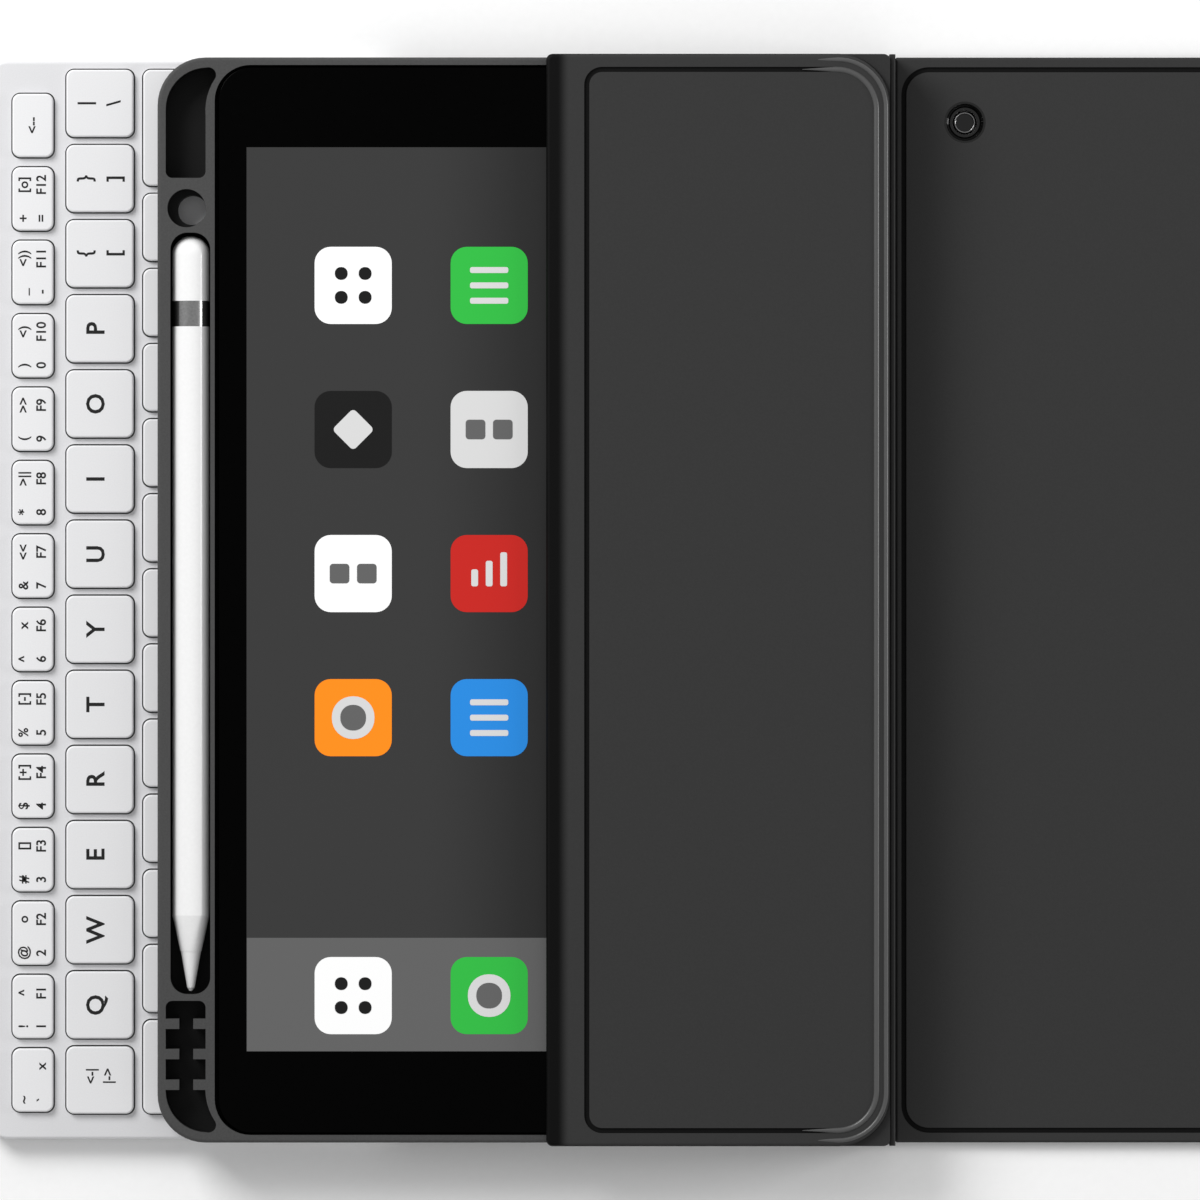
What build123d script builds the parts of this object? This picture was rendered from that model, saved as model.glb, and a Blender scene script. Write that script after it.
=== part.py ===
"""Tablet keyboard case: keyboard, tablet tray with stylus channel, and leather folio cover.

Millimetres, +Z up.  The origin is on the table, below the middle of the laid-out case.
+X runs across the layers, from the keyboard towards the back panel.  +Y runs along the long side.
"""
from build123d import *
import os

os.makedirs("parts", exist_ok=True)

# --- Driving dimensions -------------------------------------------------------------------
CASE_LENGTH = 256.0        # cover, along Y
OVERALL_WIDTH = 385.2      # keyboard's far edge to the back panel's outer edge, along X
EDGE_LEFT = -OVERALL_WIDTH / 2
EDGE_RIGHT = OVERALL_WIDTH / 2

# Keyboard
KB_DEPTH = 98.0
KB_LENGTH = 254.0
KB_CORNER = 6.0
FOOT_HEIGHT = 0.8
KB_FLOOR = 1.0             # thickness of the base's floor
KB_WALL = 1.6
DECK_BOTTOM = 3.9
DECK_TOP = 5.1
KEY_BOTTOM = 3.6
KEY_TOP = 6.6
KEY_CORNER = 1.8
KEY_GAP = 0.35             # key to deck, all round
KEY_EDGE = 0.45            # softened top edge of a keycap
DECK_EDGE = 0.7
BASE_EDGE = 0.4
FOOT_RADIUS = 4.0
FOOT_INSET_X = 10.0
FOOT_INSET_Y = 12.0
NUMBER_ROW_X = EDGE_LEFT + 11.8
NUMBER_KEY_X = 9.6
NUMBER_KEY_Y = 14.9
NUMBER_PITCH = 17.3
LETTER_ROW_X = EDGE_LEFT + 27.6
LETTER_KEY = 15.8
LETTER_PITCH = 17.7
ROW_PITCH = 18.1
FIRST_KEY_Y = -113.1       # centre of the escape and tab keys

# Tray
TRAY_LEFT = -151.0
TRAY_RIGHT = 20.4
TRAY_LENGTH = 254.6
TRAY_CORNER = 11.3
TRAY_BOTTOM = 7.1
TRAY_TOP = 16.6
BAY_FLOOR = 8.5
BAY_LEFT = -137.6
BAY_RIGHT = 19.0
BAY_LENGTH = 251.0
BAY_CORNER = 8.4
CHANNEL_X = -143.3         # centre line of the stylus channel

# Tablet
TABLET_LEFT = BAY_LEFT + 0.9    # the tray's bay is eased more beside the channel
TABLET_RIGHT = BAY_RIGHT - 0.5
TABLET_LENGTH = 250.2
TABLET_CORNER = 7.8
TABLET_TOP = 16.0
GLASS_THICKNESS = 0.8
GLASS_EDGE = 0.3
TABLET_BACK_EDGE = 1.8
SCREEN_SIDE_MARGIN = 6.6
SCREEN_TOP_Y = 106.2
SCREEN_BOTTOM_Y = -105.9

# Stylus
STYLUS_RADIUS = 4.4
STYLUS_Z = 12.45
STYLUS_TOP_Y = 85.5
STYLUS_BAND_Y = 67.2
STYLUS_BAND_LENGTH = 6.0
STYLUS_TAPER_Y = -74.0
STYLUS_NECK_Y = -82.5
STYLUS_TIP_Y = -91.8

# Folio cover
LINING = 0.8
FLAP_BOTTOM = 17.0
FLAP_TOP = 19.4
FLAP_LEFT = -59.8
FLAP_RIGHT = 20.8
SPINE_LEFT = 20.7
SPINE_RIGHT = 22.1
SPINE_TOP = 16.7
BACK_LEFT = 22.5
BACK_TOP = 2.6
GROOVE_WIDTH = 1.2
GROOVE_DEPTH = 0.55
CAMERA_X = 38.9
CAMERA_Y = 112.7
CAMERA_RING_RADIUS = 4.9
CAMERA_HOLE_RADIUS = 2.9


def save(part, name):
    """Label one finished piece and write its STEP file."""
    part.label = name
    export_step(part, f"parts/{name}.step")


def middle(low, high):
    """The middle of a span."""
    return (low + high) / 2


def slab(x_low, x_high, length, corner, z_low, z_high):
    """A flat plate with rounded corners, centred along Y."""
    with BuildPart() as plate:
        with BuildSketch(Plane.XY.offset(z_low)):
            with Locations((middle(x_low, x_high), 0)):
                RectangleRounded(x_high - x_low, length, corner)
        extrude(amount=z_high - z_low)
    return plate


# --- Keyboard -----------------------------------------------------------------------------
def number_row():
    """Centre and size of each key of the number row, from escape to backspace."""
    return [(NUMBER_ROW_X, FIRST_KEY_Y + i * NUMBER_PITCH, NUMBER_KEY_X, NUMBER_KEY_Y) for i in range(14)]


def letter_row():
    """Centre and size of each key of the first letter row, from tab to backslash."""
    return [(LETTER_ROW_X, FIRST_KEY_Y + i * LETTER_PITCH, LETTER_KEY, LETTER_KEY) for i in range(14)]


def filled_row(row, first_length, letters, last_length):
    """A row with one long key at each end and equal keys between them."""
    x = LETTER_ROW_X + row * ROW_PITCH
    gap = LETTER_PITCH - LETTER_KEY
    y = FIRST_KEY_Y - LETTER_KEY / 2
    keys = []
    for length in [first_length] + [LETTER_KEY] * letters + [last_length]:
        keys.append((x, y + length / 2, LETTER_KEY, length))
        y += length + gap
    return keys


def bottom_row():
    """Modifier keys, the space bar and the arrow keys."""
    x = LETTER_ROW_X + 3 * ROW_PITCH
    gap = LETTER_PITCH - LETTER_KEY
    space_bar = 4 * LETTER_PITCH + LETTER_KEY
    y = FIRST_KEY_Y - LETTER_KEY / 2
    keys = []
    for length in [LETTER_KEY] * 4 + [space_bar] + [LETTER_KEY] * 5:
        keys.append((x, y + length / 2, LETTER_KEY, length))
        y += length + gap
    return keys


ROW_END_Y = FIRST_KEY_Y + 13 * LETTER_PITCH + LETTER_KEY / 2
ROW_START_Y = FIRST_KEY_Y - LETTER_KEY / 2
KEY_SPACE = LETTER_PITCH - LETTER_KEY


def last_key_length(first_length, letters):
    """Length left for the last key of a row, so that every row ends level."""
    used = first_length + letters * LETTER_KEY + (letters + 1) * KEY_SPACE
    return ROW_END_Y - ROW_START_Y - used


CAPS_LENGTH = 22.0
SHIFT_LENGTH = 31.0
HOME_ROW = filled_row(1, CAPS_LENGTH, 11, last_key_length(CAPS_LENGTH, 11))
SHIFT_ROW = filled_row(2, SHIFT_LENGTH, 10, last_key_length(SHIFT_LENGTH, 10))
SPACE_ROW = bottom_row()


def keycaps(keys):
    """Low rounded keycaps with softened top edges, one solid for each key in the list."""
    with BuildPart() as caps:
        for x, y, width, length in keys:
            with BuildSketch(Plane.XY.offset(KEY_BOTTOM)):
                with Locations((x, y)):
                    RectangleRounded(width, length, KEY_CORNER)
            extrude(amount=KEY_TOP - KEY_BOTTOM)
        fillet(caps.faces().filter_by(Axis.Z).group_by(Axis.Z)[-1].edges(), KEY_EDGE)
    return caps


def keyboard_deck():
    """The white top plate with a clearance hole for every key."""
    plate = slab(EDGE_LEFT, EDGE_LEFT + KB_DEPTH, KB_LENGTH, KB_CORNER, DECK_BOTTOM, DECK_TOP)
    with BuildPart() as deck:
        add(plate.part)
        fillet(deck.faces().sort_by(Axis.Z)[-1].outer_wire().edges(), DECK_EDGE)
        with BuildSketch(Plane.XY.offset(DECK_TOP)):
            for x, y, width, length in number_row() + letter_row() + HOME_ROW + SHIFT_ROW + SPACE_ROW:
                with Locations((x, y)):
                    RectangleRounded(width + 2 * KEY_GAP, length + 2 * KEY_GAP, KEY_CORNER + KEY_GAP)
        extrude(amount=DECK_BOTTOM - DECK_TOP, mode=Mode.SUBTRACT)
    return deck


def keyboard_base():
    """The lower tray of the keyboard, open at the top."""
    block = slab(EDGE_LEFT, EDGE_LEFT + KB_DEPTH, KB_LENGTH, KB_CORNER, FOOT_HEIGHT, DECK_BOTTOM)
    with BuildPart() as base:
        add(block.part)
        with BuildSketch(Plane.XY.offset(FOOT_HEIGHT + KB_FLOOR)):
            with Locations((EDGE_LEFT + KB_DEPTH / 2, 0)):
                RectangleRounded(KB_DEPTH - 2 * KB_WALL, KB_LENGTH - 2 * KB_WALL, KB_CORNER - KB_WALL)
        extrude(amount=DECK_BOTTOM, mode=Mode.SUBTRACT)
        chamfer(base.faces().sort_by(Axis.Z)[0].edges(), BASE_EDGE)
    return base


def keyboard_feet():
    """Four round rubber feet."""
    with BuildPart() as feet:
        with BuildSketch(Plane.XY):
            with Locations((EDGE_LEFT + KB_DEPTH / 2, 0)):
                with GridLocations(KB_DEPTH - 2 * FOOT_INSET_X, KB_LENGTH - 2 * FOOT_INSET_Y, 2, 2):
                    Circle(FOOT_RADIUS)
        extrude(amount=FOOT_HEIGHT)
    return feet


INNER_CORNER = 1.5         # corner radius of the battery and the circuit board


def keyboard_inner(x, y, width, length, z_low, z_high):
    """A flat inner piece of the keyboard."""
    with BuildPart() as inner:
        with BuildSketch(Plane.XY.offset(z_low)):
            with Locations((x, y)):
                RectangleRounded(width, length, INNER_CORNER)
        extrude(amount=z_high - z_low)
    return inner


# --- Tray ---------------------------------------------------------------------------------
POCKET_LEFT = -149.1
POCKET_RIGHT = -139.7
TOP_POCKET_Y = 99.0
COMB_TOP_Y = -94.0
COMB_RIB_Y = (-99.4, -106.5, -113.7)
POCKET_FLOOR = 9.4
POCKET_CORNER = 1.6
RIB_LENGTH = 3.4
RIB_WIDTH = 2.4
CHANNEL_FLOOR = 7.9
CHANNEL_WIDTH = 9.4
CHANNEL_END_GAP = 0.7
CHANNEL_END_CORNER = 4.0
TRAY_RIM_EDGE = 0.8
TRAY_UNDERSIDE_EDGE = 1.5
WELL_X = CHANNEL_X - 0.9   # wide mouth of the round well above the stylus
WELL_Y = 91.9
WELL_RADIUS = 4.5
WELL_DEPTH = 4.0
BORE_X = CHANNEL_X + 0.3   # narrower bore below, which goes right through
BORE_Y = 91.6
BORE_RADIUS = 3.5


def pocket_outline(y_low):
    """The corner pocket beside the channel; its outer corner follows the tray's corner."""
    with BuildSketch(Plane.XY.offset(TRAY_TOP)) as outline:
        with BuildLine():
            Line((POCKET_LEFT, y_low), (POCKET_RIGHT, y_low))
            Line((POCKET_RIGHT, y_low), (POCKET_RIGHT, 113.5))
            ThreePointArc((POCKET_RIGHT, 113.5), (-139.2, 118.6), (-137.4, 122.4))
            ThreePointArc((-137.4, 122.4), (-137.6, 124.2), (-139.5, 124.9))
            ThreePointArc((-139.5, 124.9), (-146.3, 122.0), (POCKET_LEFT, 115.2))
            Line((POCKET_LEFT, 115.2), (POCKET_LEFT, y_low))
        make_face()
        fillet(outline.vertices().group_by(Axis.Y)[0], POCKET_CORNER)
    return outline


def tray_shell():
    """The soft plastic tray: tablet bay, stylus channel, corner pockets and round well."""
    block = slab(TRAY_LEFT, TRAY_RIGHT, TRAY_LENGTH, TRAY_CORNER, TRAY_BOTTOM, TRAY_TOP)
    top_pocket = pocket_outline(TOP_POCKET_Y).sketch
    channel_length = STYLUS_TOP_Y - STYLUS_TIP_Y + 2 * CHANNEL_END_GAP
    comb_pocket = mirror(pocket_outline(-COMB_TOP_Y).sketch, about=Plane.XZ)
    with BuildPart() as tray:
        add(block.part)
        fillet(tray.faces().sort_by(Axis.Z)[-1].edges(), TRAY_RIM_EDGE)
        fillet(tray.faces().sort_by(Axis.Z)[0].edges(), TRAY_UNDERSIDE_EDGE)
        with BuildSketch(Plane.XY.offset(TRAY_TOP)):
            with Locations((middle(BAY_LEFT, BAY_RIGHT), 0)):
                RectangleRounded(BAY_RIGHT - BAY_LEFT, BAY_LENGTH, BAY_CORNER)
        extrude(amount=BAY_FLOOR - TRAY_TOP, mode=Mode.SUBTRACT)
        with BuildSketch(Plane.XY.offset(TRAY_TOP)):
            with Locations((CHANNEL_X, middle(STYLUS_TOP_Y, STYLUS_TIP_Y))):
                RectangleRounded(CHANNEL_WIDTH, channel_length, CHANNEL_END_CORNER)
        extrude(amount=CHANNEL_FLOOR - TRAY_TOP, mode=Mode.SUBTRACT)
        with BuildSketch(Plane.XY.offset(TRAY_TOP)):
            add(top_pocket)
        extrude(amount=POCKET_FLOOR - TRAY_TOP, mode=Mode.SUBTRACT)
        with BuildSketch(Plane.XY.offset(TRAY_TOP)):
            add(comb_pocket)
            for rib_y in COMB_RIB_Y:
                with Locations((POCKET_LEFT + 1.5, rib_y), (POCKET_RIGHT - 1.2, rib_y)):
                    Rectangle(RIB_LENGTH, RIB_WIDTH, mode=Mode.SUBTRACT)
        extrude(amount=POCKET_FLOOR - TRAY_TOP, mode=Mode.SUBTRACT)
        with BuildSketch(Plane.XY.offset(TRAY_TOP)):
            with Locations((WELL_X, WELL_Y)):
                Circle(WELL_RADIUS)
        extrude(amount=-WELL_DEPTH, mode=Mode.SUBTRACT)
        with BuildSketch(Plane.XY.offset(TRAY_TOP)):
            with Locations((BORE_X, BORE_Y)):
                Circle(BORE_RADIUS)
        extrude(amount=TRAY_BOTTOM - TRAY_TOP, mode=Mode.SUBTRACT)
    return tray


# --- Tablet -------------------------------------------------------------------------------
def tablet_body():
    """The tablet's metal back shell."""
    top = TABLET_TOP - GLASS_THICKNESS
    block = slab(TABLET_LEFT, TABLET_RIGHT, TABLET_LENGTH, TABLET_CORNER, BAY_FLOOR, top)
    with BuildPart() as body:
        add(block.part)
        fillet(body.faces().sort_by(Axis.Z)[0].edges(), TABLET_BACK_EDGE)
    return body


def screen_sketch():
    """Outline of the display area."""
    with BuildSketch(Plane.XY.offset(TABLET_TOP)) as outline:
        with Locations((middle(TABLET_LEFT, TABLET_RIGHT), middle(SCREEN_TOP_Y, SCREEN_BOTTOM_Y))):
            Rectangle(
                TABLET_RIGHT - TABLET_LEFT - 2 * SCREEN_SIDE_MARGIN,
                SCREEN_TOP_Y - SCREEN_BOTTOM_Y,
            )
    return outline.sketch


def tablet_glass():
    """The black front glass, with a shallow window where the display sits."""
    bottom = TABLET_TOP - GLASS_THICKNESS
    plate = slab(TABLET_LEFT, TABLET_RIGHT, TABLET_LENGTH, TABLET_CORNER, bottom, TABLET_TOP)
    window = screen_sketch()
    with BuildPart() as glass:
        add(plate.part)
        fillet(glass.faces().sort_by(Axis.Z)[-1].edges(), GLASS_EDGE)
        extrude(window, amount=-GLASS_THICKNESS / 2, mode=Mode.SUBTRACT)
    return glass


def tablet_display():
    """The lit display area, level with the glass."""
    window = screen_sketch()
    with BuildPart() as display:
        extrude(window, amount=-GLASS_THICKNESS / 2)
    return display


# --- Stylus -------------------------------------------------------------------------------
def turned(points):
    """A body turned about the stylus axis from (radius, y) points; both ends lie on the axis."""
    with BuildPart() as body:
        with BuildSketch(Plane(origin=(CHANNEL_X, 0, STYLUS_Z), x_dir=(1, 0, 0), z_dir=(0, 0, 1))):
            with BuildLine():
                Polyline(*points, close=True)
            make_face()
        revolve(axis=Axis((CHANNEL_X, 0, STYLUS_Z), (0, 1, 0)))
    return body


BAND_LOW = STYLUS_BAND_Y - STYLUS_BAND_LENGTH / 2
BAND_HIGH = STYLUS_BAND_Y + STYLUS_BAND_LENGTH / 2
STYLUS_NECK_RADIUS = 2.5
TIP_STEP = 0.1             # the tip is this much slimmer than the neck
TIP_SHOULDER_RADIUS = 0.9
TIP_SHOULDER_HEIGHT = 0.8
TIP_END_RADIUS = 0.4


def stylus_cap():
    """The domed cap on the stylus's upper end."""
    with BuildPart() as cap:
        with BuildSketch(Plane(origin=(CHANNEL_X, 0, STYLUS_Z), x_dir=(1, 0, 0), z_dir=(0, 0, 1))):
            with BuildLine():
                Line((0, BAND_HIGH), (STYLUS_RADIUS, BAND_HIGH))
                Line((STYLUS_RADIUS, BAND_HIGH), (STYLUS_RADIUS, STYLUS_TOP_Y - STYLUS_RADIUS))
                CenterArc((0, STYLUS_TOP_Y - STYLUS_RADIUS), STYLUS_RADIUS, 0, 90)
                Line((0, STYLUS_TOP_Y), (0, BAND_HIGH))
            make_face()
        revolve(axis=Axis((CHANNEL_X, 0, STYLUS_Z), (0, 1, 0)))
    return cap


def stylus_barrel():
    """The white barrel, straight and then tapering to the neck."""
    return turned([
        (0, BAND_LOW),
        (STYLUS_RADIUS, BAND_LOW),
        (STYLUS_RADIUS, STYLUS_TAPER_Y),
        (STYLUS_NECK_RADIUS, STYLUS_NECK_Y),
        (0, STYLUS_NECK_Y),
    ])


def stylus_tip():
    """The screwed-on conical tip with a blunt point."""
    return turned([
        (0, STYLUS_NECK_Y),
        (STYLUS_NECK_RADIUS - TIP_STEP, STYLUS_NECK_Y),
        (TIP_SHOULDER_RADIUS, STYLUS_TIP_Y + TIP_SHOULDER_HEIGHT),
        (TIP_END_RADIUS, STYLUS_TIP_Y),
        (0, STYLUS_TIP_Y),
    ])


def stylus_band():
    """The metal band between the barrel and the cap."""
    return turned([(0, BAND_LOW), (STYLUS_RADIUS, BAND_LOW), (STYLUS_RADIUS, BAND_HIGH), (0, BAND_HIGH)])


# --- Folio cover --------------------------------------------------------------------------
PANEL_INSET_Y = 3.1        # cover's long-side edge to the pressed groove
FLAP_GROOVE_LEFT = -50.9
FLAP_GROOVE_RIGHT = 18.2
BACK_GROOVE_LEFT = 23.9
BACK_GROOVE_RIGHT = EDGE_RIGHT - 3.1
FLAP_FREE_CORNER = 12.0
FLAP_FOLD_CORNER = 4.2
BACK_GROOVE_CORNER = 6.5
BOARD_THICKNESS = 0.7
BOARD_CORNER = 5.0
BOARD_INSET_Y = 7.0
FLAP_BOARD_INSET = 4.0
BACK_BOARD_INSET = 6.0
FLAP_EDGE = 0.9            # rolled edge of the flap
BACK_EDGE = 0.7
SHEET_CORNER = 1.5
BACK_OUTER_CORNER = 9.0
BACK_FOLD_CORNER = 0.5
SPINE_EDGE = 0.5
MAGNET_WIDTH = 6.0
MAGNET_LENGTH = 18.0
MAGNET_PITCH = 90.0
MAGNET_SKIN = 0.2          # lining left below each magnet


def panel_outline(x_low, x_high, length, left_corner, right_corner):
    """A rectangle centred along Y whose left and right corners have their own radii."""
    with BuildSketch() as outline:
        with Locations((middle(x_low, x_high), 0)):
            Rectangle(x_high - x_low, length)
        fillet(outline.vertices().group_by(Axis.X)[0], left_corner)
        fillet(outline.vertices().group_by(Axis.X)[-1], right_corner)
    return outline.sketch


def groove_ring(x_low, x_high, length, left_corner, right_corner):
    """The narrow pressed line around a padded panel."""
    outer = panel_outline(x_low, x_high, length, left_corner, right_corner)
    inner = panel_outline(
        x_low + GROOVE_WIDTH,
        x_high - GROOVE_WIDTH,
        length - 2 * GROOVE_WIDTH,
        left_corner - GROOVE_WIDTH,
        right_corner - GROOVE_WIDTH,
    )
    return outer - inner


def board_pocket(x_low, x_high, z_low):
    """Outline of the stiffening board inside a panel."""
    with BuildPart() as board:
        with BuildSketch(Plane.XY.offset(z_low)):
            with Locations((middle(x_low, x_high), 0)):
                RectangleRounded(x_high - x_low, CASE_LENGTH - 2 * BOARD_INSET_Y, BOARD_CORNER)
        extrude(amount=BOARD_THICKNESS)
    return board


def flap_board():
    """Stiffening board inside the flap."""
    return board_pocket(FLAP_LEFT + FLAP_BOARD_INSET, FLAP_RIGHT - FLAP_BOARD_INSET, FLAP_BOTTOM + LINING)


def flap_panel():
    """Outer leather of the flap: rounded free corners, a rolled edge and a pressed groove."""
    outline = panel_outline(FLAP_LEFT, FLAP_RIGHT, CASE_LENGTH, SHEET_CORNER, FLAP_FREE_CORNER)
    groove = groove_ring(
        FLAP_GROOVE_LEFT,
        FLAP_GROOVE_RIGHT,
        CASE_LENGTH - 2 * PANEL_INSET_Y,
        FLAP_FOLD_CORNER,
        FLAP_FREE_CORNER - 2,
    )
    board = flap_board()
    with BuildPart() as panel:
        with BuildSketch(Plane.XY.offset(FLAP_BOTTOM + LINING)):
            add(outline)
        extrude(amount=FLAP_TOP - FLAP_BOTTOM - LINING)
        fillet(panel.faces().sort_by(Axis.Z)[-1].edges(), FLAP_EDGE)
        with BuildSketch(Plane.XY.offset(FLAP_TOP)):
            add(groove)
        extrude(amount=-GROOVE_DEPTH, mode=Mode.SUBTRACT)
        add(board.part, mode=Mode.SUBTRACT)
    return panel


def flap_magnets():
    """Three small flat magnets let into the flap's lining near its folded edge."""
    with BuildPart() as magnets:
        with BuildSketch(Plane.XY.offset(FLAP_BOTTOM + MAGNET_SKIN)):
            with Locations((FLAP_LEFT + 1.5 * MAGNET_WIDTH, 0)):
                with GridLocations(MAGNET_WIDTH, MAGNET_PITCH, 1, 3):
                    Rectangle(MAGNET_WIDTH, MAGNET_LENGTH)
        extrude(amount=LINING - MAGNET_SKIN)
    return magnets


def flap_lining(magnets):
    """Inner fabric sheet of the flap, with seats for the magnets."""
    sheet = slab(FLAP_LEFT, FLAP_RIGHT, CASE_LENGTH, SHEET_CORNER, FLAP_BOTTOM, FLAP_BOTTOM + LINING)
    with BuildPart() as lining:
        add(sheet.part)
        add(magnets.part, mode=Mode.SUBTRACT)
    return lining


CUTTER_OVERRUN = 1.0       # how far a cutter runs past each face
RING_SINK = 0.1            # the ring's rim lies this far below the leather
RING_RIM = 0.5
RING_LEDGE = 0.6
RING_LEDGE_LOW = LINING + 0.5
RING_LEDGE_HIGH = LINING + 0.9


def camera_cutter(radius):
    """A round bar through the cover at the camera opening."""
    with BuildPart() as bar:
        with BuildSketch(Plane.XY.offset(-CUTTER_OVERRUN)):
            with Locations((CAMERA_X, CAMERA_Y)):
                Circle(radius)
        extrude(amount=BACK_TOP + 2 * CUTTER_OVERRUN)
    return bar.part


def back_panel():
    """Outer leather of the back panel, with its groove and the camera opening."""
    outline = panel_outline(BACK_LEFT, EDGE_RIGHT, CASE_LENGTH, BACK_FOLD_CORNER, BACK_OUTER_CORNER)
    groove = groove_ring(
        BACK_GROOVE_LEFT,
        BACK_GROOVE_RIGHT,
        CASE_LENGTH - 2 * (PANEL_INSET_Y - 0.8),
        BACK_GROOVE_CORNER,
        BACK_GROOVE_CORNER,
    )
    board = back_board()
    opening = camera_cutter(CAMERA_RING_RADIUS)
    with BuildPart() as panel:
        with BuildSketch(Plane.XY.offset(LINING)):
            add(outline)
        extrude(amount=BACK_TOP - LINING)
        fillet(panel.faces().sort_by(Axis.Z)[-1].edges().filter_by(GeomType.LINE).filter_by(Axis.X), BACK_EDGE)
        with BuildSketch(Plane.XY.offset(BACK_TOP)):
            add(groove)
        extrude(amount=-GROOVE_DEPTH, mode=Mode.SUBTRACT)
        add(board.part, mode=Mode.SUBTRACT)
        add(opening, mode=Mode.SUBTRACT)
    return panel


def back_board():
    """Stiffening board inside the back panel."""
    blank = board_pocket(BACK_LEFT + BACK_BOARD_INSET, EDGE_RIGHT - BACK_BOARD_INSET, LINING)
    opening = camera_cutter(CAMERA_RING_RADIUS)
    with BuildPart() as board:
        add(blank.part)
        add(opening, mode=Mode.SUBTRACT)
    return board


def back_lining():
    """Inner fabric sheet of the back panel."""
    outline = panel_outline(BACK_LEFT, EDGE_RIGHT, CASE_LENGTH, BACK_FOLD_CORNER, BACK_OUTER_CORNER)
    opening = camera_cutter(CAMERA_HOLE_RADIUS)
    with BuildPart() as lining:
        with BuildSketch(Plane.XY):
            add(outline)
        extrude(amount=LINING)
        add(opening, mode=Mode.SUBTRACT)
    return lining


def camera_ring():
    """The dished ring that lines the camera opening."""
    with BuildPart() as ring:
        with BuildSketch(Plane(origin=(CAMERA_X, CAMERA_Y, 0), x_dir=(1, 0, 0), z_dir=(0, -1, 0))):
            with BuildLine():
                Polyline(
                    (CAMERA_HOLE_RADIUS, LINING),
                    (CAMERA_RING_RADIUS, LINING),
                    (CAMERA_RING_RADIUS, BACK_TOP - RING_SINK),
                    (CAMERA_RING_RADIUS - RING_RIM, BACK_TOP - RING_SINK),
                    (CAMERA_HOLE_RADIUS + RING_LEDGE, RING_LEDGE_LOW),
                    (CAMERA_HOLE_RADIUS + RING_LEDGE, RING_LEDGE_HIGH),
                    (CAMERA_HOLE_RADIUS, RING_LEDGE_HIGH),
                    close=True,
                )
            make_face()
        revolve(axis=Axis((CAMERA_X, CAMERA_Y, 0), (0, 0, 1)))
    return ring


def spine_strip():
    """The leather strip that joins the two folds and is bonded to the tray's side."""
    with BuildPart() as spine:
        with BuildSketch(Plane.XY):
            with Locations((middle(SPINE_LEFT, SPINE_RIGHT), 0)):
                Rectangle(SPINE_RIGHT - SPINE_LEFT, CASE_LENGTH)
        extrude(amount=SPINE_TOP)
        fillet(spine.edges().filter_by(Axis.Y), SPINE_EDGE)
    return spine


# --- Make and write every piece -----------------------------------------------------------
NUMBER_NAMES = "esc 1 2 3 4 5 6 7 8 9 0 minus equals backspace".split()
LETTER_NAMES = "tab q w e r t y u i o p bracket_open bracket_close backslash".split()

save(keyboard_base().part, "keyboard_base")
save(keyboard_deck().part, "keyboard_deck")
save(keyboard_feet().part, "keyboard_feet")
MEMBRANE_BOTTOM = FOOT_HEIGHT + KB_FLOOR
MEMBRANE_TOP = MEMBRANE_BOTTOM + 0.35
MEMBRANE_EDGE = KB_WALL + 0.5
save(
    slab(
        EDGE_LEFT + MEMBRANE_EDGE,
        EDGE_LEFT + KB_DEPTH - MEMBRANE_EDGE,
        KB_LENGTH - 2 * MEMBRANE_EDGE,
        KB_CORNER - KB_WALL,
        MEMBRANE_BOTTOM,
        MEMBRANE_TOP,
    ).part,
    "keyboard_membrane",
)
SPACE_ROW_X = SPACE_ROW[0][0]
BATTERY_GAP = 0.2
BOARD_GAP = 0.4
save(keyboard_inner(SPACE_ROW_X, -60, 14, 70, MEMBRANE_TOP, KEY_BOTTOM - BATTERY_GAP).part, "keyboard_battery")
save(keyboard_inner(SPACE_ROW_X, 50, 14, 60, MEMBRANE_TOP, KEY_BOTTOM - BOARD_GAP).part, "keyboard_circuit_board")

for key_name, key in zip(NUMBER_NAMES, number_row()):
    save(keycaps([key]).part, f"key_{key_name}")
for key_name, key in zip(LETTER_NAMES, letter_row()):
    save(keycaps([key]).part, f"key_{key_name}")
save(keycaps(HOME_ROW).part, "keys_home_row")
save(keycaps(SHIFT_ROW).part, "keys_shift_row")
save(keycaps(SPACE_ROW).part, "keys_space_row")

save(tray_shell().part, "tray_shell")
save(tablet_body().part, "tablet_body")
save(tablet_glass().part, "tablet_glass")
save(tablet_display().part, "tablet_display")

save(stylus_cap().part, "stylus_cap")
save(stylus_band().part, "stylus_band")
save(stylus_barrel().part, "stylus_barrel")
save(stylus_tip().part, "stylus_tip")

magnet_group = flap_magnets()
save(magnet_group.part, "flap_magnets")
save(flap_lining(magnet_group).part, "flap_lining")
save(flap_board().part, "flap_board")
save(flap_panel().part, "flap_panel")
save(spine_strip().part, "spine_strip")
save(back_lining().part, "back_lining")
save(back_board().part, "back_board")
save(back_panel().part, "back_panel")
save(camera_ring().part, "camera_ring")
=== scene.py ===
# %% [markdown]
# # A tablet keyboard case
# The case is laid out in layers: a white keyboard, a grey tray with a tablet and a stylus, and a folding
# leather cover.  The CAD frame already holds the exact shapes, so it is loaded first and never changed.

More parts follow.
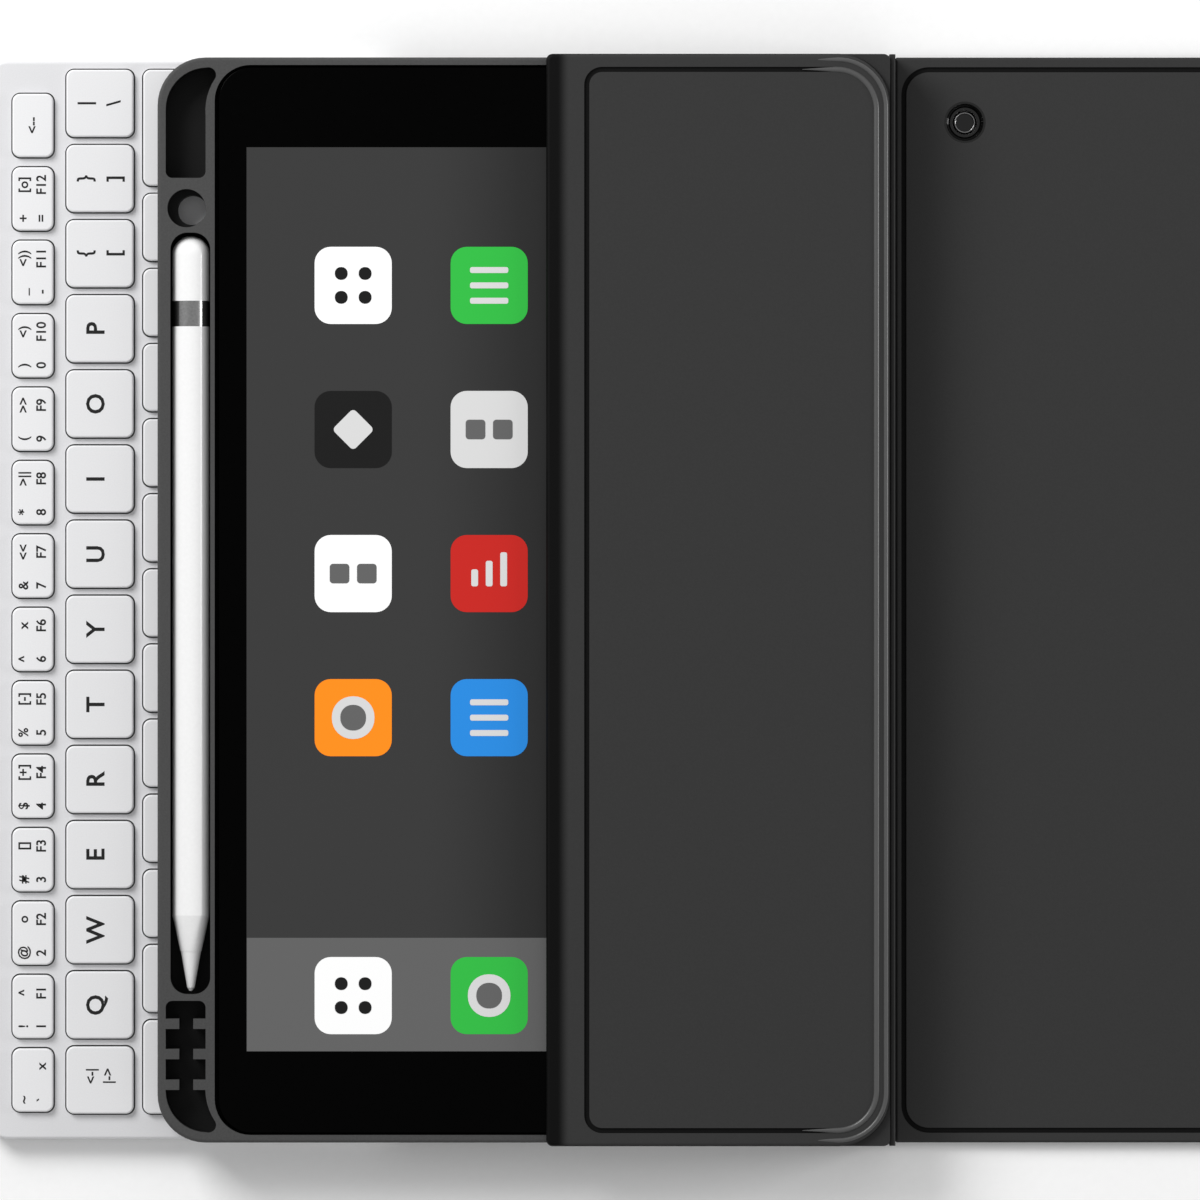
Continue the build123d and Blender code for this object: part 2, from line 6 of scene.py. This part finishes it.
# %% Load the frame
import bpy
import math
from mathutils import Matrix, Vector


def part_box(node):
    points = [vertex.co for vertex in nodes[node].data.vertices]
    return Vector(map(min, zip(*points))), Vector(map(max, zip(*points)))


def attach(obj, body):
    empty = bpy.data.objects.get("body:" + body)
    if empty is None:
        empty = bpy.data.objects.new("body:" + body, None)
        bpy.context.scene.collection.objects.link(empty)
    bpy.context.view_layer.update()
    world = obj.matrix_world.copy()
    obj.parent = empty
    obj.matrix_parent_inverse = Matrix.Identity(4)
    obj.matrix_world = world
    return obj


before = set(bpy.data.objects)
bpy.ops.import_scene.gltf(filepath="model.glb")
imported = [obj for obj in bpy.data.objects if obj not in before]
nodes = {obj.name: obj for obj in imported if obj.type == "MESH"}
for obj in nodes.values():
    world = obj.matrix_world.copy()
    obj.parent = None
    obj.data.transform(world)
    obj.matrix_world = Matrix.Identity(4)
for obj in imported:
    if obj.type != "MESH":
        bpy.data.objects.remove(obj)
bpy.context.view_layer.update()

MM = 0.001

# %% [markdown]
# The camera looks straight down through a very long lens, as in a catalogue layout, so upright walls hardly
# show.  It is centred on the tray's right side, and the back panel's outer part runs out of its view.

# %% Camera
VIEW_WIDTH = 281.5 * MM
VIEW_CENTRE_X = -47.2 * MM
FOCUS_HEIGHT = 16 * MM
LENS = 300.0
SENSOR = 36.0

camera_distance = VIEW_WIDTH * LENS / SENSOR
bpy.ops.object.camera_add(location=(VIEW_CENTRE_X, 0, FOCUS_HEIGHT + camera_distance), rotation=(0, 0, 0))
camera = bpy.context.object
camera.data.lens = LENS
camera.data.sensor_width = SENSOR
camera.data.clip_end = 20
bpy.context.scene.camera = camera
print("camera distance in m:", round(camera_distance, 3))

# %% [markdown]
# Soft studio light: one broad panel from the upper left, which leaves the right and lower sides of each
# key darker, and a smaller low soft box from the right that draws a thin light line along the rolled edges.

# %% Lights, sky and floor
def soft_light(name, place, target, size, power):
    """A square soft box that faces its target."""
    bpy.ops.object.light_add(type="AREA", location=place)
    light = bpy.context.object
    light.name = name
    light.data.size = size
    light.data.energy = power
    direction = Vector(place) - Vector(target)
    light.rotation_euler = direction.to_track_quat("Z", "Y").to_euler()
    return light


soft_light("key_light", (-0.8, 0.75, 0.8), (-0.05, 0, 0), 0.6, 13)
soft_light("rim_light", (1.0, 0.1, 0.35), (0, 0, 0), 0.3, 4)
world = bpy.data.worlds.new("studio")
bpy.context.scene.world = world
world.use_nodes = True
world.node_tree.nodes["Background"].inputs["Color"].default_value = (1, 1, 1, 1)
world.node_tree.nodes["Background"].inputs["Strength"].default_value = 0.5
bpy.context.scene.view_settings.view_transform = "Standard"

FLOOR_SIZE = 8.0
bpy.ops.mesh.primitive_plane_add(size=FLOOR_SIZE, location=(0, 0, -0.0002))
floor = bpy.context.object
floor.name = "floor"

# %% [markdown]
# ## Finishes
# Every finish is a small node tree.  One helper turns a hex colour into linear light, and one helper adds a
# node with its settings and links.

# %% Helpers for finishes
def linear(hex_colour):
    """An sRGB hex colour as linear red, green, blue and alpha."""
    parts = [int(hex_colour[i : i + 2], 16) / 255 for i in (0, 2, 4)]
    return [p / 12.92 if p <= 0.04045 else ((p + 0.055) / 1.055) ** 2.4 for p in parts] + [1.0]


def add_node(tree, kind, settings=None, values=None, links=None):
    """Adds a node; settings are its attributes, values its sockets, and links come from other sockets."""
    node = tree.nodes.new(kind)
    for key, value in (settings or {}).items():
        setattr(node, key, value)
    for key, value in (values or {}).items():
        node.inputs[key].default_value = value
    for key, source in (links or {}).items():
        tree.links.new(source, node.inputs[key])
    return node


def plastic(name, dark, light, grain_mm, bump, roughness, specular=0.5, metallic=0.0):
    """A moulded or pressed surface: two close colours mixed by fine grain, and the same grain as relief."""
    material = bpy.data.materials.new(name)
    material.use_nodes = True
    tree = material.node_tree
    shader = tree.nodes["Principled BSDF"]
    place = add_node(tree, "ShaderNodeTexCoord").outputs["Object"]
    grain = add_node(
        tree, "ShaderNodeTexNoise", values={"Scale": 1 / (grain_mm * MM), "Detail": 3.0}, links={"Vector": place}
    )
    colour = add_node(tree, "ShaderNodeMix", {"data_type": "RGBA"}, links={"Factor": grain.outputs["Fac"]})
    colour.inputs["A"].default_value = linear(dark)
    colour.inputs["B"].default_value = linear(light)
    relief = add_node(
        tree,
        "ShaderNodeBump",
        values={"Strength": bump, "Distance": 0.05 * MM},
        links={"Height": grain.outputs["Fac"]},
    )
    tree.links.new(colour.outputs[2], shader.inputs["Base Color"])
    tree.links.new(relief.outputs["Normal"], shader.inputs["Normal"])
    shader.inputs["Roughness"].default_value = roughness
    shader.inputs["Specular IOR Level"].default_value = specular
    shader.inputs["Metallic"].default_value = metallic
    return material


def darken_along(material, axis, black_at, full_at, dark):
    """Fades the colour to a darker one along X, Y or Z, from full_at to black_at, both in millimetres."""
    tree = material.node_tree
    shader = tree.nodes["Principled BSDF"]
    before = shader.inputs["Base Color"].links[0].from_socket
    place = add_node(tree, "ShaderNodeTexCoord").outputs["Object"]
    split = add_node(tree, "ShaderNodeSeparateXYZ", links={"Vector": place})
    fade = add_node(
        tree,
        "ShaderNodeMapRange",
        {"interpolation_type": "SMOOTHSTEP"},
        {"From Min": black_at * MM, "From Max": full_at * MM},
        {"Value": split.outputs[axis]},
    )
    colour = add_node(tree, "ShaderNodeMix", {"data_type": "RGBA"}, links={"Factor": fade.outputs["Result"]})
    colour.inputs["A"].default_value = linear(dark)
    tree.links.new(before, colour.inputs["B"])
    tree.links.new(colour.outputs[2], shader.inputs["Base Color"])
    return material


def top_of(node):
    """Height of a CAD node's top, in millimetres."""
    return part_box(node)[1].z / MM


# %% [markdown]
# The keyboard is moulded ABS with a satin spark-eroded texture, about 0.3 mm from grain to grain.  The keycaps
# are a shade lighter.  The tray is soft TPU; its pockets get painted shade, a fade to near black below the tray's
# top.
# The cover is polyurethane leather: the shade on the rolled edge and in the pressed lines is painted nearly black,
# so each is a fade along one axis.

# %% Finishes of the case
housing_abs = plastic("satin_abs_housing", "d6d6d8", "e2e2e4", 0.3, 0.15, 0.5)
keycap_abs = plastic("satin_abs_keycap", "e4e4e6", "efeff0", 0.3, 0.12, 0.42)
tray_tpu = plastic("soft_tpu_tray", "3a3a3a", "4d4d4d", 0.45, 0.4, 0.65, 0.25)
# painted shade: the tray's colour fades to near black from 16.2 mm down to 13 mm height, in its pockets
darken_along(tray_tpu, "Z", 13.0, 16.2, "0a0a0a")
flap_leather = plastic("pu_leather_flap", "323232", "373737", 0.55, 0.3, 0.6, 0.12)
# painted shade: more than 0.15 to 0.5 mm below the flap's top, the pressed lines included, the leather fades to near
# black
darken_along(flap_leather, "Z", top_of("flap_panel") - 0.5, top_of("flap_panel") - 0.15, "0a0a0a")
# painted shade on the rolled left edge: the leather fades to near black from x = -54.2 mm to -57.2 mm
darken_along(flap_leather, "X", -57.2, -54.2, "020202")
back_leather = plastic("pu_leather_back", "323232", "373737", 0.55, 0.3, 0.6, 0.12)
# painted shade: the back panel's pressed lines fade to near black, as on the flap
darken_along(back_leather, "Z", top_of("back_panel") - 0.5, top_of("back_panel") - 0.15, "0a0a0a")
# painted shade: the spine is the same leather in a darker copy, standing for the shade on its upright face
spine_leather_painted_shade = plastic("pu_leather_spine_painted_shade", "1c1c1c", "242424", 0.55, 0.25, 0.6, 0.3)
lining_cloth = plastic("microfibre_lining", "2b2b2b", "393939", 0.25, 0.5, 0.95, 0.1)
rubber = plastic("moulded_rubber_foot", "1b1b1b", "242424", 0.4, 0.3, 0.8, 0.2)
film = plastic("polyester_membrane_film", "8d9490", "9aa19d", 1.5, 0.05, 0.35)
foil = plastic("battery_foil", "a9a9a9", "bcbcbc", 1.0, 0.2, 0.4, 0.5, 1.0)
resist = plastic("green_solder_resist", "0f4a27", "14582f", 0.8, 0.1, 0.4)
board = plastic("grey_fibre_board", "77736c", "86827a", 0.6, 0.3, 0.9, 0.2)
nickel = plastic("nickel_plated_magnet", "b5b2ac", "c4c1bb", 1.0, 0.05, 0.25, 0.5, 1.0)
aluminium = plastic("blasted_aluminium_shell", "a6a7aa", "b4b5b8", 0.25, 0.2, 0.4, 0.5, 1.0)
black_glass = plastic("black_cover_glass", "000000", "010101", 2.0, 0.0, 0.2, 0.04)
stylus_gloss = plastic("gloss_white_stylus", "eeeeee", "f7f7f7", 0.8, 0.02, 0.2)
stylus_steel = plastic("polished_steel_band", "8b8b8b", "b5b5b5", 0.5, 0.05, 0.25, 0.5, 1.0)
ring_gloss = plastic("gloss_camera_ring", "060606", "0c0c0c", 0.8, 0.02, 0.15)
ink = plastic("black_pad_print_ink", "101010", "1a1a1a", 0.2, 0.1, 0.6, 0.3)
floor_card = plastic("white_floor_card", "fafafa", "ffffff", 2.0, 0.02, 0.9, 0.1)
floor.data.materials.append(floor_card)


def lit(name, hex_colour, painted_shade_hex=None):
    """A lit patch of the display; the second colour is a painted shade that it fades to on its right."""
    if painted_shade_hex:
        material = plastic(name, hex_colour, hex_colour, 1.0, 0.0, 0.3, 0.1)
        darken_along(material, "X", -60.0, -90.0, painted_shade_hex)
    else:
        material = bpy.data.materials.new(name)
        material.use_nodes = True
    shader = material.node_tree.nodes["Principled BSDF"]
    if not painted_shade_hex:
        shader.inputs["Base Color"].default_value = linear(hex_colour)
        shader.inputs["Roughness"].default_value = 0.3
        shader.inputs["Specular IOR Level"].default_value = 0.1
    shader.inputs["Emission Color"].default_value = linear(hex_colour)
    shader.inputs["Emission Strength"].default_value = 0.12
    return material


# painted shade: the display's grey fades darker towards the flap, from x = -90 mm to -60 mm
screen_grey = lit("display_dark_grey", "383838", "2a2a2a")

# %% Give every CAD node its finish
def finish_of(name):
    """The finish of a CAD node."""
    table = {
        "keyboard_base": housing_abs,
        "keyboard_deck": housing_abs,
        "keyboard_feet": rubber,
        "keyboard_membrane": film,
        "keyboard_battery": foil,
        "keyboard_circuit_board": resist,
        "tray_shell": tray_tpu,
        "tablet_body": aluminium,
        "tablet_glass": black_glass,
        "tablet_display": screen_grey,
        "stylus_band": stylus_steel,
        "flap_panel": flap_leather,
        "flap_lining": lining_cloth,
        "flap_board": board,
        "flap_magnets": nickel,
        "spine_strip": spine_leather_painted_shade,
        "back_panel": back_leather,
        "back_lining": lining_cloth,
        "back_board": board,
        "camera_ring": ring_gloss,
    }
    if name.startswith("key_") or name.startswith("keys_"):
        return keycap_abs
    if name.startswith("stylus") and name not in table:
        return stylus_gloss
    return table[name]


for name, node in nodes.items():
    material = finish_of(name)
    if not node.material_slots:
        node.data.materials.append(material)
    for node_slot in node.material_slots:
        node_slot.material = material
print("finished CAD nodes:", len(nodes))

# %% [markdown]
# ## Key legends
# Real legends are pad-printed ink, a few hundredths of a millimetre thick.  Each mark is a text object turned
# into a mesh and laid on its own keycap, so it goes down with the key.  The tops of the marks face -X.

# %% Helpers for marks
def only(*objects):
    """Selects these objects and nothing else."""
    bpy.ops.object.select_all(action="DESELECT")
    for one in objects:
        one.select_set(True)
    bpy.context.view_layer.objects.active = objects[0]


INK_SPREAD = 0.018


def printed(text, x, y, z, size, turn=math.pi / 2):
    """A flat printed mark centred on (x, y), its foot at height z."""
    bpy.ops.object.select_all(action="DESELECT")
    bpy.ops.object.text_add()
    mark = bpy.context.object
    mark.data.body = text
    mark.data.size = size
    mark.data.extrude = 0.02 * MM
    mark.data.offset = size * INK_SPREAD
    mark.data.resolution_u = 3
    mark.data.align_x = "CENTER"
    mark.data.align_y = "CENTER"
    only(mark)
    bpy.ops.object.convert(target="MESH")
    mark = bpy.context.object
    mark.rotation_euler = (0, 0, turn)
    mark.location = (x, y, z + 0.01 * MM)
    bpy.ops.object.transform_apply(location=True, rotation=True, scale=True)
    return mark


def joined(pieces, name, material, body):
    """Joins pieces into one named mesh with a finish, and lets it ride on a body."""
    only(*pieces)
    if len(pieces) > 1:
        bpy.ops.object.join()
    piece = bpy.context.object
    bpy.ops.object.transform_apply(location=True, rotation=True, scale=True)
    piece.name = name
    piece.data.materials.clear()
    piece.data.materials.append(material)
    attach(piece, body)
    return piece


# %% Legends of the two open rows
LETTER_SIZE = 6.0 * MM
SMALL_SIZE = 3.2 * MM
SIDE = 2.1 * MM
UPPER = 3.3 * MM
LOWER = -4.6 * MM
number_keys = "esc 1 2 3 4 5 6 7 8 9 0 minus equals backspace".split()
letter_keys = "tab q w e r t y u i o p bracket_open bracket_close backslash".split()
SHIFTED = dict(zip(number_keys[1:13], ["!", "@", "#", "$", "%", "^", "&", "*", "(", ")", "_", "+"]))
PLAIN = {"minus": "-", "equals": "="}
SIGNS = ["^", "o", "[]", "[+]", "[-]", "x", "<<", ">||", ">>", "<)", "<))", "[o]"]
PAIRS = {"bracket_open": ("{", "["), "bracket_close": ("}", "]"), "backslash": ("|", "\\")}


def key_marks(key, index):
    """The printed marks of one key: (text, x offset, y offset, size)."""
    if key in SHIFTED:
        return [
            (SHIFTED[key], -SIDE, LOWER, SMALL_SIZE),
            (PLAIN.get(key, key), SIDE, LOWER, SMALL_SIZE),
            (f"F{index}", SIDE, UPPER, SMALL_SIZE),
            (SIGNS[index - 1], -SIDE, UPPER, SMALL_SIZE),
        ]
    if key in PAIRS:
        return [(PAIRS[key][0], -3.4 * MM, 0, 4.6 * MM), (PAIRS[key][1], 3.4 * MM, 0, 4.6 * MM)]
    if key == "esc":
        return [("~", -SIDE, LOWER, SMALL_SIZE), ("`", SIDE, LOWER, SMALL_SIZE), ("x", SIDE, UPPER, SMALL_SIZE)]
    if key == "backspace":
        return [("<--", 0, 0, SMALL_SIZE)]
    if key == "tab":
        return [("<-|", -2 * MM, 1 * MM, SMALL_SIZE), ("|->", 2 * MM, 1 * MM, SMALL_SIZE)]
    return [(key.upper(), -0.8 * MM, 0, LETTER_SIZE)]


for keys in (number_keys, letter_keys):
    for index, key in enumerate(keys):
        low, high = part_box(f"key_{key}")
        middle = (low + high) / 2
        marks = [
            printed(text, middle.x + dx, middle.y + dy, high.z, size) for text, dx, dy, size in key_marks(key, index)
        ]
        joined(marks, f"legend_{key}", ink, f"key_{key}_cap")
print("legends:", len(number_keys) + len(letter_keys))

# %% Legends of the rows under the tray
LETTER_PITCH = 17.7 * MM
KEY_SPACE = 1.9 * MM
CAPS_LENGTH = 22.0 * MM
SHIFT_LENGTH = 31.0 * MM
for row_node, first_length, letters in (
    ("keys_home_row", CAPS_LENGTH, "ASDFGHJKL;'"),
    ("keys_shift_row", SHIFT_LENGTH, "ZXCVBNM,./"),
):
    low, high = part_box(row_node)
    first_y = low.y + first_length + KEY_SPACE + (LETTER_PITCH - KEY_SPACE) / 2
    row_x = (low.x + high.x) / 2 - 0.8 * MM
    marks = [
        printed(letter, row_x, first_y + i * LETTER_PITCH, high.z, LETTER_SIZE) for i, letter in enumerate(letters)
    ]
    joined(marks, f"legend_{row_node}", ink, "keyboard")

# %% [markdown]
# ## Beads of the flap and the lens
# Two round beads run down the flap's free side and round its corners, where cord is sewn in under the leather;
# they are a lighter grey than the leather around them, a painted highlight.
# Each is a curve with a round section, turned into a mesh.  A small dark lens in the camera opening
# stands for the camera of a tablet behind it; the CAD is open there.

# %% Beads
def bead(name, edge_x, half_length, corner, radius):
    """A round bead down the flap's right side: a straight run with an arc at each end."""
    flap_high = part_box("flap_panel")[1].z
    points = []
    for step in range(17):
        angle = math.pi / 2 * (1 - step / 16)
        points.append((edge_x - corner + corner * math.cos(angle), half_length - corner + corner * math.sin(angle)))
    points = [(edge_x - corner - 8 * MM, half_length)] + points
    points += [(x, -y) for x, y in reversed(points)]
    curve = bpy.data.curves.new(name, "CURVE")
    curve.dimensions = "3D"
    curve.bevel_depth = radius
    curve.bevel_resolution = 3
    curve.use_fill_caps = True
    spline = curve.splines.new("POLY")
    spline.points.add(len(points) - 1)
    for point, (x, y) in zip(spline.points, points):
        point.co = (x, y, flap_high - radius * 0.45, 1)
    for end in (spline.points[0], spline.points[-1]):
        end.radius = 0.1
    piece = bpy.data.objects.new(name, curve)
    bpy.context.collection.objects.link(piece)
    only(piece)
    bpy.ops.object.convert(target="MESH")
    bpy.ops.object.shade_smooth_by_angle(angle=math.radians(40))
    return joined([bpy.context.object], name, bead_leather_painted_highlight, "flap")


# painted highlight: the beads are the same leather in a lighter, glossier copy
bead_leather_painted_highlight = plastic("pu_leather_bead_painted_highlight", "4a4a4a", "505050", 0.55, 0.1, 0.32, 0.5)
bead("flap_bead_inner", 17.6 * MM, 124.3 * MM, 9.4 * MM, 0.75 * MM)
bead("flap_bead_outer", 19.8 * MM, 126.6 * MM, 11.2 * MM, 0.6 * MM)

# %% Lens
LENS_RADIUS = 2.75 * MM
ring_low, ring_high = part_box("camera_ring")
ring_middle = (ring_low + ring_high) / 2
bpy.ops.object.select_all(action="DESELECT")
bpy.ops.mesh.primitive_uv_sphere_add(
    radius=LENS_RADIUS, segments=40, ring_count=20, location=(ring_middle.x, ring_middle.y, 0.5 * MM)
)
lens = bpy.context.object
lens.scale = (1, 1, 0.16)
bpy.ops.object.transform_apply(location=True, rotation=True, scale=True)
bpy.ops.object.shade_smooth_by_angle(angle=math.radians(60))
lens_glass = plastic("coated_lens_glass", "010101", "030305", 1.0, 0.0, 0.08, 0.5)
joined([lens], "camera_lens", lens_glass, "back")
bpy.ops.object.select_all(action="DESELECT")
bpy.ops.mesh.primitive_torus_add(
    location=(ring_middle.x, ring_middle.y, 1.0 * MM),
    major_radius=2.3 * MM,
    minor_radius=0.22 * MM,
    major_segments=48,
    minor_segments=10,
)
bpy.ops.object.shade_smooth_by_angle(angle=math.radians(60))
lens_steel = plastic("turned_lens_bezel", "7d7d7d", "9a9a9a", 0.5, 0.02, 0.2, 0.5, 1.0)
joined([bpy.context.object], "camera_bezel", lens_steel, "back")

# %% [markdown]
# ## The display
# The lit picture is a dock bar and rows of rounded tiles, each with a plain sign of its own.  A tile starts as
# a cube, gets round upright corners from the bevel operator, and lies a few hundredths of a millimetre proud.

# %% Helpers for tiles and signs
DISPLAY_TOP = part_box("tablet_display")[1].z
TILE = 18.1 * MM
LEAF = 0.05 * MM


def leaf(x, y, width, length, radius, level=0, turn=0.0):
    """A thin plate with rounded upright corners; level is the layer that it lies on."""
    bpy.ops.object.select_all(action="DESELECT")
    bpy.ops.mesh.primitive_cube_add(size=1)
    plate = bpy.context.object
    plate.scale = (width, length, LEAF)
    bpy.ops.object.transform_apply(location=False, rotation=False, scale=True)
    if radius:
        bpy.ops.object.mode_set(mode="EDIT")
        bpy.ops.mesh.select_mode(type="EDGE")
        bpy.ops.mesh.select_all(action="DESELECT")
        bpy.ops.object.mode_set(mode="OBJECT")
        for edge in plate.data.edges:
            a, b = (plate.data.vertices[i].co for i in edge.vertices)
            edge.select = abs(a.z - b.z) > LEAF / 2
        bpy.ops.object.mode_set(mode="EDIT")
        bpy.ops.mesh.bevel(offset=radius, segments=8, affect="EDGES")
        bpy.ops.object.mode_set(mode="OBJECT")
    plate.rotation_euler = (0, 0, turn)
    plate.location = (x, y, DISPLAY_TOP + LEAF * (level + 0.5))
    bpy.ops.object.transform_apply(location=True, rotation=True, scale=True)
    return plate


colours = {
    "white": lit("lit_white", "f4f4f4"),
    "green": lit("lit_green", "33b544"),
    "red": lit("lit_red", "c02823"),
    "orange": lit("lit_orange", "f78a1d"),
    "blue": lit("lit_blue", "2a86d8"),
    "dark": lit("lit_dark", "1c1c1c"),
    "dock": lit("lit_dock", "606060"),
    "silver": lit("lit_silver", "d0d0d0"),
}


def show(pieces, label, colour):
    """Puts pieces of one colour on the display."""
    joined(pieces, f"display_{label}", colours[colour], "tray")


# %% The signs
def bars(x, y, name):
    """Three level bars, one above the other."""
    rows = [leaf(x, y + k * 3.6 * MM, 9 * MM, 1.4 * MM, 0.5 * MM, 1) for k in (-1, 0, 1)]
    show(rows, f"{name}_bars", "silver")


def dots(x, y, name):
    """Four round dots at the corners of a square."""
    corners = [(i, j) for i in (-1, 1) for j in (-1, 1)]
    spots = [leaf(x + i * 2.8 * MM, y + j * 2.8 * MM, 3 * MM, 3 * MM, 1.4 * MM, 1) for i, j in corners]
    show(spots, f"{name}_dots", "dark")


def ring(x, y, name):
    """A pale ring with a dark middle."""
    show([leaf(x, y, 10 * MM, 10 * MM, 4.8 * MM, 1)], f"{name}_ring", "silver")
    show([leaf(x, y, 6 * MM, 6 * MM, 2.8 * MM, 2)], f"{name}_middle", "dock")


def diamond(x, y, name):
    """A square standing on its corner."""
    show([leaf(x, y, 7 * MM, 7 * MM, 1.0 * MM, 1, math.pi / 4)], f"{name}_diamond", "silver")


def squares(x, y, name):
    """Two squares side by side."""
    pair = [leaf(x + i * 3.2 * MM, y, 4.6 * MM, 4.6 * MM, 0.8 * MM, 1) for i in (-1, 1)]
    show(pair, f"{name}_squares", "dock")


def steps(x, y, name):
    """Three upright bars, each taller than the last."""
    rising = []
    for k in (0, 1, 2):
        rising.append(leaf(x + (k - 1) * 3.4 * MM, y + (k - 1) * MM, 1.6 * MM, (4 + 2 * k) * MM, 0.5 * MM, 1))
    show(rising, f"{name}_steps", "silver")


# %% Lay out the tiles
COLUMN_X = -105.1 * MM
COLUMN_PITCH = 31.9 * MM
ROW_Y = 73.8 * MM
ROW_STEP = 33.8 * MM
DOCK_Y = -92.8 * MM
DOCK_TOP = -79.2 * MM

display_low, display_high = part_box("tablet_display")
dock_middle = (display_low.y + DOCK_TOP) / 2
dock_bar = leaf(
    (display_low.x + display_high.x) / 2,
    dock_middle,
    display_high.x - display_low.x - 0.1 * MM,
    DOCK_TOP - display_low.y - 0.1 * MM,
    0,
    -0.4,
)
show([dock_bar], "dock_bar", "dock")

TILES = [
    (0, 0, "white", dots), (0, 1, "dark", diamond), (0, 2, "white", squares), (0, 3, "orange", ring),
    (1, 0, "green", bars), (1, 1, "silver", squares), (1, 2, "red", steps), (1, 3, "blue", bars),
    (2, 0, "blue", diamond), (2, 1, "green", steps), (2, 2, "orange", bars), (2, 3, "white", dots),
    (3, 0, "red", ring), (3, 1, "white", squares), (3, 2, "blue", steps), (3, 3, "green", diamond),
    (0, None, "white", dots), (1, None, "green", ring), (2, None, "white", squares), (3, None, "orange", diamond),
]
for column, row, colour, sign in TILES:
    tile_x = COLUMN_X + column * COLUMN_PITCH
    tile_y = DOCK_Y if row is None else ROW_Y - row * ROW_STEP
    label = f"tile_{column}_{'dock' if row is None else row}"
    show([leaf(tile_x, tile_y, TILE, TILE, 3.8 * MM, 0)], label, colour)
    sign(tile_x, tile_y, label)
print("tiles:", len(TILES))
